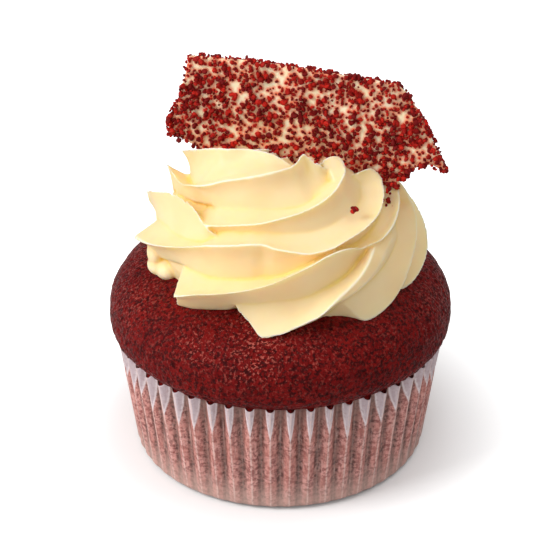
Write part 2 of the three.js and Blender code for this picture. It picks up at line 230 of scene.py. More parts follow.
# Each ridge is a row of sections along its crest: azimuth, radius and height of
# the crest, then the way (outward, up) to the valley above and to the valley
# below, where they differ the azimuths of those two valleys beside the crest, how
# far the part is a curled tip (0 to 1), and the crest's roundness
RIDGES = {
    "E": [
        (-43.6, 30.2, 44.8, -6.2, 3.2, -3.2, -4.1, -9, -5), (-38.4, 30.8, 46.3, -6.3, 2.0, -4.8, -5.2, -3, -1),
        (-33, 30.7, 47.6, -6.1, 0.7, -5.8, -6.2), (-25, 30.6, 48.9, -6.1, 0.1, -6.4, -6.8),
        (-18, 30.4, 49.9, -6.0, -0.4, -5.4, -5.6), (-10.5, 30.1, 51.2, -5.8, -1.2, -4.7, -6.1),
        (-3.3, 29.7, 52.6, -5.5, -2.2, -4.2, -6.6, 0, 0, 0, 0.7), (4, 29.1, 54.0, -5.0, -2.7, -3.6, -7.6, 0, 0, 0, 0.9),
        (11.8, 28.5, 55.5, -4.5, -2.7, -2.9, -8.4, 0, 0, 0, 1.0), (20.6, 27.6, 56.8, -4.0, -2.3, -2.1, -8.7, 0, 0, 0, 1.0),
        (27, 27.1, 57.0, -3.6, -2.1, -1.8, -7.9, 0, 0, 0, 0.9), (33, 27.0, 56.5, -3.2, -1.8, -2.0, -6.1, 0, 0, 0, 0.7),
        (39, 27.0, 55.8, -3.0, -1.2, -2.6, -4.2), (46, 27.0, 55.8, -3.2, -0.5, -2.6, -6.0),
        (53, 26.8, 56.4, -3.6, 0.3, -1.8, -6.8), (60.3, 26.3, 57.5, -3.8, 0.5, -0.8, -7.0),
        (67.7, 25.5, 59.0, -4.0, 0.6, -0.5, -6.8), (74, 24.5, 60.3, -4.2, 0.8, -0.4, -6.8),
        (84, 22.8, 61.4, -4.5, 0.4, -0.6, -7.0), (96, 20.0, 62.8, -4.5, 0.2, -1.0, -7.0),
        (112, 15.5, 64.2, -4.5, 0.0, -1.0, -6.0)],
    "F": [
        (-6.8, 29.2, 39.6, -3.8, 4.8, -1.8, -0.6, -14, -3), (0, 29.4, 40.7, -3.9, 5.3, -2.1, -1.0, -5, -1),
        (7.8, 29.5, 42.6, -4.1, 4.1, -2.9, -2.0), (15, 29.9, 44.5, -4.5, 2.9, -3.6, -2.2, 0, 3.3, 0, 0.7),
        (18.7, 30.2, 46.2, -4.8, 1.8, -3.5, -1.8, 0, 5.0, 0, 1.0), (22.6, 30.1, 47.8, -4.8, 0.7, -3.1, -2.2, 0, 5.3, 0, 1.4),
        (26.8, 29.9, 49.3, -4.6, -0.2, -2.9, -2.5, 0, 7.0, 0, 1.8), (31.4, 29.6, 50.9, -4.4, -0.9, -2.8, -3.0, 0, 9.5, 0, 2.2),
        (35.6, 29.1, 52.6, -4.2, -1.6, -2.5, -3.5, 0, 12.0, 0, 2.4), (39.4, 28.2, 54.1, -3.8, -2.2, -1.8, -3.9, 0, 14.4, 0, 2.4),
        (43.5, 27.0, 54.8, -3.4, -1.6, -0.9, -3.4, 0, 15.3, 0, 2.2), (52, 26.0, 55.0, -3.2, -0.8, -0.3, -2.0, 0, 11.7, 0, 1.6),
        (58, 25.3, 55.4, -3.2, -0.4, -0.3, -1.6, 0, 10.0, 0, 1.0)],
    "G": [
        (19.3, 25.3, 41.3, -1.5, 1.0, -1.2, -0.8, -2, 0), (27.6, 25.8, 40.9, -0.6, 1.7, -1.2, -0.8, -4.4, -1),
        (33.0, 27.3, 40.4, -0.9, 4.3, -1.4, -0.8, -7.5, -1), (36.5, 28.6, 39.9, -1.7, 5.3, -1.4, -0.6, -9.3, -3),
        (40, 28.75, 40.1, -1.8, 5.4, -1.4, -0.7, -12, -2), (42.3, 28.8, 40.4, -1.8, 5.3, -1.4, -0.8, -13.9, -1),
        (45.2, 28.8, 40.7, -1.6, 5.6, -1.6, -1.0, -14.4, 0), (50.3, 29.0, 41.9, -2.0, 5.3, -2.2, -1.8, -13.8, 0),
        (55.2, 29.3, 43.9, -2.5, 4.2, -3.0, -3.2, -13.0, 0), (57.3, 29.6, 45.4, -2.9, 3.3, -3.6, -4.6, -11.3, 0),
        (60.7, 29.6, 47.6, -3.0, 2.3, -4.2, -5.6, -9.5, 0), (66, 29.3, 49.8, -3.0, 1.3, -4.2, -6.0, -9.4, 0),
        (70.8, 29.0, 51.7, -3.1, 0.8, -3.6, -6.6, -8.8, 0), (73.8, 28.5, 53.4, -3.2, 0.8, -3.3, -6.8, -7.5, 2),
        (77.6, 27.7, 55.4, -3.0, 0.3, -3.0, -7.0, -5.8, 4), (80.8, 26.2, 58.0, -2.1, -1.0, -2.6, -7.0, -1.5, 7),
        (84, 24.5, 59.8, -2.2, -1.0, -2.4, -7.0, -3, 9), (92, 22.0, 60.8, -2.4, -0.8, -2.0, -7.0, -6, 7),
        (104, 18.0, 62.6, -3.5, -0.4, -1.5, -7.0, -4, 4), (120, 14.0, 64.2, -4.0, 0.0, -1.5, -6.0)],
    "H": [
        (66, 27.7, 40.5, -2.6, 2.0, -1.4, -0.6, -9, -3), (70, 28.3, 40.8, -3.2, 4.6, -1.6, -1.0, -3, -1),
        (76, 29.2, 41.8, -3.8, 5.0, -2.4, -1.8), (83, 30.0, 43.4, -4.4, 4.4, -3.4, -3.2),
        (90, 30.4, 45.0, -4.8, 3.4, -4.4, -4.6), (98, 30.3, 46.8, -5.0, 2.6, -4.8, -5.4),
        (106, 29.8, 48.6, -5.2, 2.0, -4.4, -6.2), (116, 28.6, 51.2, -5.2, 1.4, -3.8, -6.6),
        (128, 26.8, 54.6, -5.4, 1.0, -3.0, -7.2), (144, 23.6, 58.6, -5.2, 0.8, -2.4, -7.6),
        (160, 20.0, 61.8, -5.0, 0.8, -2.0, -7.4), (180, 15.0, 64.2, -4.5, 0.6, -1.6, -7.0),
        (202, 10.0, 65.6, -3.5, 0.4, -1.2, -6.0)],
    "I": [
        (104, 28.2, 40.6, -3.0, 2.2, -2.6, -1.0, -10, -4), (112, 29.8, 42.0, -4.6, 3.6, -4.4, -2.6, -3, -1),
        (128, 30.2, 45.2, -5.2, 1.8, -4.8, -4.6), (146, 29.2, 49.2, -5.5, 1.0, -3.8, -6.4),
        (164, 27.2, 53.0, -5.5, 1.0, -3.0, -7.2), (184, 24.4, 56.2, -5.5, 1.0, -2.4, -7.6),
        (206, 21.0, 59.0, -5.2, 1.0, -2.0, -7.6), (230, 17.4, 61.4, -5.0, 0.8, -1.6, -7.2),
        (252, 13.6, 63.2, -4.5, 0.6, -1.2, -6.6), (272, 9.6, 64.6, -3.5, 0.4, -1.0, -6.0)],
    "D": [
        (150, 28.2, 40.6, -3.0, 2.2, -2.6, -1.0, -10, -4), (158, 29.8, 42.0, -4.6, 3.6, -4.4, -2.6, -3, -1),
        (176, 30.0, 46.0, -5.2, 1.6, -4.6, -5.0), (198, 28.4, 50.4, -5.5, 0.8, -3.2, -6.8),
        (220, 24.8, 54.6, -5.5, 0.6, -2.4, -7.6), (240, 20.9, 58.8, -4.8, -0.4, -2.2, -7.0),
        (256, 19.3, 62.2, -4.4, -1.0, -2.2, -6.8), (268, 19.7, 65.5, -4.4, -1.4, -2.0, -7.4),
        (277, 18.5, 67.2, -4.2, -1.8, -1.0, -7.6), (286, 16.7, 68.5, -4.2, -2.2, 1.0, -8.0),
        (295, 14.8, 69.5, -4.4, -2.4, 3.2, -7.4), (306, 13.0, 70.1, -4.6, -2.8, 5.7, -6.3),
        (325, 10.0, 70.2, -4.6, -3.6, 6.6, -3.9), (339, 9.6, 70.2, -4.6, -4.6, 5.6, -2.8),
        (352, 9.8, 69.9, -4.6, -5.2, 4.2, -1.6), (361, 10.2, 69.3, -4.6, -5.2, 3.0, -1.0),
        (370, 11.2, 68.4, -4.4, -5.0, 1.2, -0.5), (376, 11.2, 67.6, -4.0, -4.6, 0.6, -1.6)],
    "C": [
        (188, 28.2, 40.6, -3.0, 2.2, -2.6, -1.0, -10, -4), (196, 29.8, 42.0, -4.6, 3.6, -4.4, -2.6, -3, -1),
        (212, 29.0, 45.2, -5.2, 1.6, -4.4, -5.2), (230, 26.8, 49.4, -5.5, 0.6, -3.0, -7.0),
        (248, 24.2, 54.6, -5.2, -0.6, -1.8, -7.8), (258, 23.1, 59.0, -4.8, -1.8, -1.4, -7.2),
        (264, 23.8, 62.6, -4.8, -3.4, -2.2, -7.2, 0, 0, 0, 0.45), (267.7, 24.2, 64.2, -5.0, -4.2, -2.8, -7.4, 0, 0, 0, 0.5),
        (271, 23.0, 63.2, -4.6, -3.8, -2.2, -6.4, 0, 0, 0, 0.5), (276, 21.8, 61.9, -3.8, -2.6, -1.5, -4.8, 0, 0, 0, 0.5),
        (284.5, 20.6, 61.5, -2.7, -1.6, -0.9, -3.5, 0, 0, 0, 0.5), (290.5, 20.3, 62.0, -2.4, -1.2, -0.9, -3.5),
        (296.6, 20.2, 62.9, -2.2, -0.8, -1.0, -4.0), (304.2, 20.3, 63.8, -1.7, 0.1, -1.9, -4.4),
        (311, 20.0, 64.7, -1.5, 0.1, -1.8, -4.7),
        (316.1, 19.1, 65.4, -1.4, 0.1, -0.9, -5.3), (321.4, 18.2, 66.2, -1.3, 0.1, -0.3, -5.9),
        (333.5, 16.7, 67.2, -1.3, 0.1, 0.7, -6.3), (346.4, 15.5, 68.0, -1.3, 0.1, 1.6, -6.7),
        (360.7, 14.1, 68.7, -1.5, -0.6, 2.8, -7.2), (369, 13.3, 69.0, -1.9, -1.6, 3.5, -7.2),
        (375.2, 12.3, 69.4, -2.4, -2.6, 4.4, -7.3), (381, 11.0, 69.8, -2.8, -3.6, 5.2, -7.5, 0, 0, 0, 0.8),
        (386.8, 10.2, 69.9, -3.0, -4.6, 5.6, -7.5, 0, 0, 0, 0.9), (391, 11.2, 69.3, -3.2, -4.4, 4.0, -6.5, 0, 0, 0, 0.8),
        (395, 12.6, 68.4, -3.4, -4.0, 2.4, -5.4), (403, 13.4, 67.0, -3.4, -3.6, 1.4, -4.0),
        (412, 13.0, 65.4, -3.4, -2.6, 1.0, -3.0)],
    "B": [
        (224, 28.4, 41.0, -3.0, 2.2, -2.6, -1.0, -10, -4), (232, 29.6, 43.0, -4.6, 3.0, -4.4, -3.4, -3, -1),
        (244, 29.0, 46.6, -5.0, 1.4, -3.6, -5.6), (256, 27.8, 51.0, -4.8, 0.2, -2.2, -7.0),
        (264, 27.1, 54.6, -4.6, -0.6, -2.0, -7.6, 0, 0, 0, 0.45), (270, 26.9, 57.0, -4.4, -1.8, -2.2, -7.8, 0, 0, 0, 0.35),
        (278, 25.5, 58.6, -4.2, -2.4, -1.0, -8.0, 0, 0, 0, 0.45),
        (284.6, 24.2, 59.9, -3.9, -3.0, 0.1, -7.9), (293, 23.0, 61.2, -3.5, -3.8, 0.9, -8.5),
        (301, 22.4, 61.7, -3.1, -4.5, 1.4, -8.5), (308.1, 22.2, 61.8, -3.0, -4.7, 1.5, -8.2),
        (313.8, 22.5, 61.3, -3.1, -4.6, 1.1, -7.3), (318, 23.1, 60.3, -3.2, -3.8, 0.4, -6.0),
        (322, 23.6, 59.1, -3.4, -2.8, 0.0, -5.0), (325, 23.3, 58.0, -3.6, -1.8, 0.0, -4.4),
        (330, 22.0, 56.6, -3.8, -0.8, 0.2, -3.4), (338, 20.0, 55.2, -3.6, -0.6, 0.6, -2.4)],
    "b": [
        (-58, 19.0, 57.4, -3.0, 0.8, -1.0, -3.0), (-52, 20.2, 57.8, -3.2, 1.2, -1.0, -3.0),
        (-46, 21.4, 58.2, -3.9, 1.5, -1.2, -3.0),
        (-40, 22.7, 58.6, -4.6, 1.6, -1.3, -3.0), (-36.5, 23.5, 59.0, -5.3, 1.2, -1.6, -2.4),
        (-29.4, 23.0, 59.5, -5.3, 1.1, -1.6, -1.9), (-19.5, 22.3, 60.3, -5.1, 0.9, -1.0, -2.3),
        (-9.6, 21.9, 61.0, -4.9, 0.4, -0.7, -2.8), (0.4, 21.4, 62.0, -4.5, -0.5, -0.4, -3.4),
        (10.9, 20.9, 62.9, -4.2, -1.2, 0.1, -4.4), (22.8, 20.1, 64.0, -4.0, -1.6, 0.8, -5.3, -1, 0),
        (33.5, 19.0, 65.1, -3.4, -1.9, 1.6, -5.9, -3, 0.5), (44.8, 17.2, 66.2, -1.6, -2.0, 2.9, -6.2, -6, 2.2, 0.4),
        (51.5, 16.2, 66.8, -0.5, -2.0, 3.0, -5.9, -10, 3.5, 0.8), (56, 14.9, 67.5, -0.1, -1.9, 3.3, -5.2, -13, 4, 1),
        (59, 13.7, 68.0, 0.3, -1.8, 3.3, -4.2, -15.5, 4, 1), (57, 12.5, 68.3, 0.4, -1.6, 3.0, -4.3, -14.5, 11, 1),
        (50, 11.9, 68.3, 0.4, -1.2, 1.5, -5.0, -8.5, 22, 1), (42, 12.1, 68.2, -0.2, -1.0, 0.0, -5.0, -2, 34, 1),
        (36.5, 12.7, 67.9, -0.6, -1.0, -1.0, -4.5, 0, 40, 1)],
    "A": [
        (253, 28.0, 42.0, -3.0, 2.4, -2.6, -1.4, -8, -4), (261, 28.9, 43.6, -4.0, 3.0, -3.6, -2.8, -3, -1),
        (270, 30.0, 45.8, -5.0, 3.8, -4.8, -3.8, 0, 0, 0, 1.4), (278.5, 29.9, 48.2, -5.0, 3.6, -4.8, -4.2, 0, 0, 0, 1.4),
        (287.4, 29.3, 49.9, -4.8, 2.9, -4.2, -4.3, 0, 0, 0, 1.0), (297.5, 28.6, 51.6, -4.5, 1.6, -3.8, -4.4, 0, 0, 0, 0.6),
        (310.5, 27.7, 53.9, -4.1, 0.1, -3.2, -5.3), (320.7, 26.9, 55.6, -3.8, -0.6, -2.5, -7.0),
        (328, 26.3, 56.6, -4.2, 0.4, -2.0, -7.9), (334.5, 26.0, 57.2, -4.6, 0.8, -1.6, -8.3),
        (341, 25.6, 57.7, -4.3, 0.5, -1.3, -8.2), (347.5, 25.2, 58.1, -4.2, 0.5, -1.1, -8.1),
        (352, 24.9, 58.1, -4.2, 0.7, -1.2, -7.8), (357.5, 25.4, 57.6, -4.4, 0.9, -1.5, -7.0),
        (364.5, 25.9, 57.2, -4.9, 1.3, -1.9, -6.2), (372.7, 26.5, 56.7, -5.4, 1.7, -2.4, -5.2),
        (381.3, 26.5, 57.0, -5.5, 1.6, -2.6, -4.4), (391, 26.2, 58.1, -5.4, 1.0, -2.6, -3.6),
        (403, 25.5, 59.1, -5.0, 0.7, -2.2, -3.8, -1, 0), (411.5, 24.8, 60.0, -4.8, 0.2, -1.8, -4.2, -2.6, 0),
        (418.7, 23.8, 61.2, -4.5, -0.3, -1.4, -4.6, -4, 0), (425.8, 22.4, 62.5, -3.7, -0.6, -1.0, -5.2, -7, 1, 0.4),
        (431, 20.9, 63.9, -3.0, -1.0, -0.4, -6.0, -9.5, 3, 0.8), (431.5, 19.9, 64.7, -2.2, -1.4, 0.6, -6.5, -10, 8, 1),
        (430, 18.9, 65.3, -1.7, -1.3, 0.5, -7.0, -8.8, 14, 1), (425, 18.2, 65.5, -1.3, -1.0, 0.0, -7.0, -4, 20, 1),
        (420.5, 17.6, 65.5, -1.0, -0.8, -0.5, -7.0, 0, 26, 1), (415, 16.8, 65.3, -1.0, -0.8, -1.0, -6.0, 0, 30, 1)],
}


# the small lobe at the left where the piping starts: place and half sizes
# (across, outward, up) of its swellings
LOBE = [((-76.3, 25.2, 43.0), (2.8, 2.2, 1.9)), ((-72.2, 23.8, 42.8), (3.0, 2.4, 2.1)), ((-77.0, 25.8, 45.6), (2.4, 1.5, 2.6))]


def slopes(t, y):
    """shape-keeping slopes for a smooth curve through y at t"""
    h = np.diff(t); d = np.diff(y) / h
    m = np.zeros_like(y)
    m[0], m[-1] = d[0], d[-1]
    for i in range(1, len(y) - 1):
        if d[i - 1] * d[i] > 0:
            w1, w2 = 2 * h[i] + h[i - 1], h[i] + 2 * h[i - 1]
            m[i] = (w1 + w2) / (w1 / d[i - 1] + w2 / d[i])
    return m


def along(t, y, x):
    m = slopes(t, y)
    i = np.clip(np.searchsorted(t, x) - 1, 0, len(t) - 2)
    h = t[i + 1] - t[i]
    s = (x - t[i]) / h
    return ((2 * s ** 3 - 3 * s ** 2 + 1) * y[i] + (s ** 3 - 2 * s ** 2 + s) * h * m[i]
            + (-2 * s ** 3 + 3 * s ** 2) * y[i + 1] + (s ** 3 - s ** 2) * h * m[i + 1])


def ridge_rows(name, step=0.5):
    blank = (0, 0, 0, 0, 0, 0, 0, 0, 0, 0, 0.55)
    T = np.array([tuple(r) + blank[len(r):] for r in RIDGES[name]], float)
    P = polar(T[:, 0], T[:, 1], T[:, 2])
    t = np.concatenate([[0], np.cumsum(np.linalg.norm(np.diff(P, axis=0), axis=1))])
    x = np.linspace(0, t[-1], max(8, int(t[-1] / step)))
    return np.stack([along(t, T[:, j], x) for j in range(11)], -1)


def face_points(v, n, sag, tip, root):
    """points from the crest along v to the valley, slightly hollow, then on to a root"""
    L = np.hypot(*v)
    side = np.array([-v[1], v[0]]) / L
    t = np.linspace(tip / L, 1, n)
    p = t[:, None] * v + (np.sin(np.pi * t ** 0.8) ** 1.3 * sag)[:, None] * side
    return np.append(t, 1.0), np.concatenate([p, [v + root]])


def ridge_mesh(name):
    rows = ridge_rows(name)
    rise = {"D": -1.1, "C": -0.1, "b": 0.6}.get(name, 1.1)
    rings = []
    swell = {"F": 1.6}.get(name, 0.0)
    for a, r, z, ur, uz, lr, lz, ua, la, w, round_ in rows:
        u, l = np.array([ur, uz]), np.array([lr, lz])
        Lu, Ll = np.hypot(*u), np.hypot(*l)
        tip = min(round_, 0.4 * Lu, 0.4 * Ll)
        tu, pu = face_points(u, 9, 0.55 * min(1, Lu / 5.5) * (1.5 - tip), tip, [-2.0, rise * (1 - w) - 1.2 * w])
        lsag = (-0.70 + swell * smooth(round_, 0.7, 2.0)) * min(1, Ll / 6)
        tl, pl = face_points(l, 9, lsag, tip, [-2.0, -1.1])
        a0, b0 = u / Lu * tip, l / Ll * tip
        k = np.linspace(0, 1, 5)[:, None]
        nose = a0 * (1 - k) ** 2 + b0 * k ** 2
        pts = np.concatenate([pu[::-1], nose[1:-1], pl])
        off = np.concatenate([tu[::-1] * ua, [0, 0, 0], tl * la])
        q0, q1 = pts[-1], pts[0]
        deep = min(q1[0], q0[0]) - 3.0
        back = np.array([[deep, min(q0[1], q1[1] - 1.0)], [deep, q1[1]]])
        pts = np.concatenate([pts, back])
        off = np.append(off, [off[-1], off[0]])
        rings.append(polar(a + off, np.maximum(0.4, r + pts[:, 0]), z + pts[:, 1]))
    n = len(rings[0])
    V = np.concatenate(rings)
    F = [tuple(f) for f in grid_faces(len(rings), n)]
    F.append(tuple(range(n - 1, -1, -1)))
    F.append(tuple(range(len(V) - n, len(V))))
    return V, F


def join_meshes(parts):
    V, F, k = [], [], 0
    for v, f in parts:
        V.append(v)
        F += [tuple(i + k for i in q) for q in f]
        k += len(v)
    return np.concatenate(V), F


def lathe_mesh(profile, cols=96):
    p = np.array(profile, float)
    t = np.linspace(0, 360, cols, endpoint=False)
    V = np.concatenate([polar(t, r, z) for r, z in p])
    F = [tuple(f) for f in grid_faces(len(p), cols)]
    k = len(V)
    V = np.concatenate([V, [[0, 0, p[0][1]], [0, 0, p[-1][1]]]])
    last = (len(p) - 1) * cols
    for c in range(cols):
        F.append((k, (c + 1) % cols, c))
        F.append((k + 1, last + c, last + (c + 1) % cols))
    return V, F


def blob_mesh(centre, size, az, nu=24, nv=14):
    V = []
    for j in range(1, nv):
        t = math.pi * j / nv
        for i in range(nu):
            p = 2 * math.pi * i / nu
            V.append((size[0] * math.sin(t) * math.cos(p), size[1] * math.sin(t) * math.sin(p), -size[2] * math.cos(t)))
    V.append((0, 0, -size[2])); V.append((0, 0, size[2]))
    V = np.array(V)
    a = math.radians(az)
    R = np.array([[math.cos(a), -math.sin(a), 0], [math.sin(a), math.cos(a), 0], [0, 0, 1]])
    V = V @ R.T + np.asarray(centre)
    F = [tuple(f) for f in grid_faces(nv - 1, nu)]
    k = (nv - 1) * nu
    for i in range(nu):
        F.append((k, (i + 1) % nu, i))
        F.append((k + 1, (nv - 2) * nu + i, (nv - 2) * nu + (i + 1) % nu))
    return V, F


def apply_modifiers(ob):
    dg = bpy.context.evaluated_depsgraph_get()
    me = bpy.data.meshes.new_from_object(ob.evaluated_get(dg))
    old = ob.data
    ob.modifiers.clear()
    ob.data = me
    bpy.data.meshes.remove(old)


def cavities(me, near, far):
    """how far (mm) each vertex lies below its smoothed surroundings, over a short and a long reach"""
    n = len(me.vertices)
    co = np.empty(n * 3, np.float32); me.vertices.foreach_get("co", co)
    no = np.empty(n * 3, np.float32); me.vertices.foreach_get("normal", no)
    ed = np.empty(len(me.edges) * 2, np.int32); me.edges.foreach_get("vertices", ed)
    co = co.reshape(-1, 3).astype(float) / MM
    no = no.reshape(-1, 3)
    a, b = ed.reshape(-1, 2).T
    deg = (np.bincount(a, minlength=n) + np.bincount(b, minlength=n))[:, None].clip(1)
    q, out = co, []
    for i in range(1, far + 1):
        s = np.stack([np.bincount(a, q[b, k], n) + np.bincount(b, q[a, k], n) for k in range(3)], 1)
        q = 0.4 * q + 0.6 * s / deg
        if i in (near, far):
            out.append(((q - co) * no).sum(1))
    return out


def build_frosting():
    parts = [ridge_mesh(n) for n in RIDGES]
    prof = [(25.0, 38.5)] + [(max(1.0, float(envelope(z) - CORE_INSET - 2.6 * smooth(z, 53.5, 57.5))), z)
                             for z in np.arange(41, CORE_TOP, 1.5)]
    prof.append((6.0, CORE_TOP))
    parts.append(lathe_mesh(prof))
    for (a, r, z), size in LOBE:
        parts.append(blob_mesh(polar(a, r, z), size, a))
    V, F = join_meshes(parts)
    ob = mesh_object("swirl", V, F)
    m = ob.modifiers.new("r", 'REMESH'); m.mode = 'VOXEL'; m.voxel_size = 0.27 * MM; m.adaptivity = 0.0
    m = ob.modifiers.new("s", 'SMOOTH'); m.factor = 0.5; m.iterations = 4
    apply_modifiers(ob)
    crease, hollow = cavities(ob.data, 14, 90)
    float_attribute(ob, "crease", crease)
    float_attribute(ob, "hollow", hollow)
    m = ob.modifiers.new("d", 'DECIMATE'); m.decimate_type = 'COLLAPSE'; m.ratio = 0.45
    apply_modifiers(ob)
    ob.data.polygons.foreach_set("use_smooth", [True] * len(ob.data.polygons))
    ob.data.update()
    return ob


def frosting_material():
    n = Nodes("cream_frosting")
    big = n.noise(9.0, 2.0)
    base = n.mix(n.ramp(big, 0.35, 0.65), srgb(246, 216, 163), srgb(248, 221, 172))
    crease, hollow = n.attr("crease"), n.attr("hollow")
    # painted shade: the hollows get a deeper, more saturated yellow that stands in for the shade and bounced light in
    # them
    base = n.mix(n.ramp(hollow, 0.04, 0.70, 0.0, 0.80), base, srgb(250, 225, 126))
    # painted shade: darker ochre in the creases
    base = n.mix(n.ramp(crease, 0.03, 0.34, 0.0, 0.62), base, srgb(242, 206, 100))
    # painted highlight: paler cream along the crests
    base = n.mix(n.ramp(crease, -0.22, -0.02, 0.70, 0.0), base, srgb(254, 243, 226))
    n.set(Base_Color=base, Roughness=0.42)
    fine = n.noise(0.5, 3.0)
    n.set(Normal=n.bump(fine, 0.12, 0.05))
    n.bsdf.inputs["Subsurface Weight"].default_value = 0.6
    n.bsdf.inputs["Subsurface Radius"].default_value = (1.0, 0.75, 0.35)
    n.bsdf.inputs["Subsurface Scale"].default_value = 2.5 * MM
    n.bsdf.inputs["Specular IOR Level"].default_value = 0.3
    return n.mat


# -------------------------------------------------------- pleats of the paper
PLEATS = np.random.default_rng(5)
PLEAT_SHIFT = PLEATS.uniform(-0.35, 0.35, FLUTES)
PLEAT_DEPTH = PLEATS.uniform(0.85, 1.15, FLUTES)
PLEAT_WHITE = PLEATS.uniform(0.85, 1.2, FLUTES)
PLEAT_DIP = PLEATS.uniform(0.75, 1.2, FLUTES)


def pleats(cols):
    """azimuth, phase (0 on a crest, +-0.5 in a valley), valley and nearest crest of each column"""
    per = cols // FLUTES
    k = np.arange(cols)
    ph = (k % per) / per
    ph = np.where(ph > 0.5, ph - 1, ph)
    return FIRST_FLUTE + k * 360.0 / cols, ph, k // per, ((k + per // 2) // per) % FLUTES


def wall_at(z):
    """crest radius and pleat depth of the paper's wall at height z"""
    t = (z - FOOT_Z) / (RIM_Z - FOOT_Z)
    return FOOT_R + (RIM_R - FOOT_R) * t, BASE_DEPTH + (FLUTE_DEPTH - BASE_DEPTH) * min(1.0, t * 1.25)


def pleat_ring(cols, r, d, z, off):
    az, ph, fl, near = pleats(cols)
    wave = (0.5 + 0.5 * np.cos(2 * np.pi * ph)) ** 0.9
    t = z / RIM_Z
    a = az + t * np.interp(az, FIRST_FLUTE + (np.arange(FLUTES + 1)) * 360 / FLUTES, np.append(PLEAT_SHIFT, PLEAT_SHIFT[0]))
    rr = r - d * PLEAT_DEPTH[fl] * (1 - wave)
    crumple = 0.10 * vnoise(polar(a, rr, z) * [1, 1, 0.5], 3.0, 77) * smooth(t, 0.1, 0.3)
    return polar(a, rr + crumple - off, z)


# ---------------------------------------------------------------------- cake
def dome_point(t):
    """t from -1 (under the lip) through 0 (widest ring) to 1 (crown): (r, z)"""
    t = np.asarray(t, float)
    a = np.clip(t, 0, 1) * math.pi / 2
    r = DOME_R * np.abs(np.cos(a)) ** (2 / DOME_POWER)
    z = DOME_Z + DOME_RISE * np.sin(a) ** (2 / DOME_POWER)
    b = np.clip(-t, 0, 1)
    r = np.where(t < 0, DOME_R - 2.1 * b ** 2, r)
    z = np.where(t < 0, DOME_Z - 3.4 * b, z)
    return r, z


def build_cake():
    # rows evenly spaced along the section, closer where the dome shows
    t = np.concatenate([np.linspace(-1, 1, 1600)])
    r, z = dome_point(t)
    s = np.concatenate([[0], np.cumsum(np.hypot(np.diff(r), np.diff(z)))])
    w = np.interp(s, [0, 24, 30, s[-1]], [0, 24, 26, 28.5])
    rows = 104
    ti = np.interp(np.linspace(0, w[-1] * 0.995, rows), w, t)
    r, z = dome_point(ti)
    cols = FLUTES * 16
    az, ph, fl, near = pleats(cols)
    A, R = np.meshgrid(az, r)
    _, Z = np.meshgrid(az, z)
    P = polar(A, R, Z)
    # outward direction of the section
    dr, dz = np.gradient(r), np.gradient(z)
    L = np.hypot(dr, dz)
    nr, nz = dz / L, -dr / L
    N = np.stack([nr[:, None] * np.sin(np.radians(A)), -nr[:, None] * np.cos(np.radians(A)),
                  np.broadcast_to(nz[:, None], A.shape)], -1)
    lump = 0.28 * fbm(P, 9.0, 3, 2)
    grain = fbm(P, 1.3, 11, 3, 0.65)
    pits = vnoise(P, 0.9, 29)
    # wrinkles that run down the sides, where the crust is stretched
    side = smooth(-N[..., 2], -0.75, -0.25)
    W = np.stack([np.radians(A) * DOME_R / 1.1, Z / 3.2, 0 * Z], -1)
    wrinkle = fbm(W, 1.0, 47, 3, 0.6)
    d = lump + 0.14 * grain - 0.20 * smooth(pits, 0.30, 0.8) + 0.16 * side * wrinkle
    edge = smooth(np.arange(rows), 0, 5)[:, None]
    # crumbs that stand out along the lip over the paper
    lip = smooth(np.arange(rows), 9, 2)[:, None]
    d = d + lip * (0.30 * smooth(vnoise(P, 1.3, 83), 0.1, 0.7) - 0.10)
    P = P + N * (d * edge)[..., None]
    V = P.reshape(-1, 3)
    F = [tuple(f) for f in grid_faces(rows, cols)]
    # down inside the paper: pleated like it near the rim, then one smooth wall
    wall = [(31.2, 21.5), (29.8, 12.0), (29.0, 4.0), (28.4, 1.4), (24.0, 0.85)]
    k = len(V)
    W = [pleat_ring(cols, *wall_at(wz), wz, 0.34) for wz in (26.0, 25.2, 24.2, 23.0)]
    wall = [None] * len(W) + wall
    W = np.concatenate(W + [polar(az, q[0], q[1]) for q in wall if q])
    V = np.concatenate([V, W, [[0, 0, 0.85], [0, 0, V[-1][2] + 0.0]]])
    c = np.arange(cols); c1 = (c + 1) % cols
    F += [(k + a, k + b, b, a) for a, b in zip(c, c1)]
    for i in range(len(wall) - 1):
        o = k + i * cols
        F += [(o + cols + a, o + cols + b, o + b, o + a) for a, b in zip(c, c1)]
    o = k + (len(wall) - 1) * cols
    bot, top = k + len(W), k + len(W) + 1
    F += [(bot, o + b, o + a) for a, b in zip(c, c1)]
    o = (rows - 1) * cols
    F += [(top, o + a, o + b) for a, b in zip(c, c1)]
    ob = mesh_object("sponge", V, F)
    # where the painted glints go, as if the crust's grains caught the light: the front left of the
    #     crown and the shoulder at the right
    a = np.degrees(np.arctan2(V[:, 0], -V[:, 1]))
    glint_zone = (0.12 + 0.95 * np.exp(-((a + 10) / 32) ** 2 - ((V[:, 2] - 37.8) / 4.5) ** 2)
           + 0.55 * np.exp(-((np.abs(a) - 85) / 30) ** 2 - ((V[:, 2] - 38.0) / 6.0) ** 2) + 0.35 * smooth(np.abs(a), 110, 150))
    float_attribute(ob, "glint_zone", np.clip(glint_zone, 0, 1))
    return ob


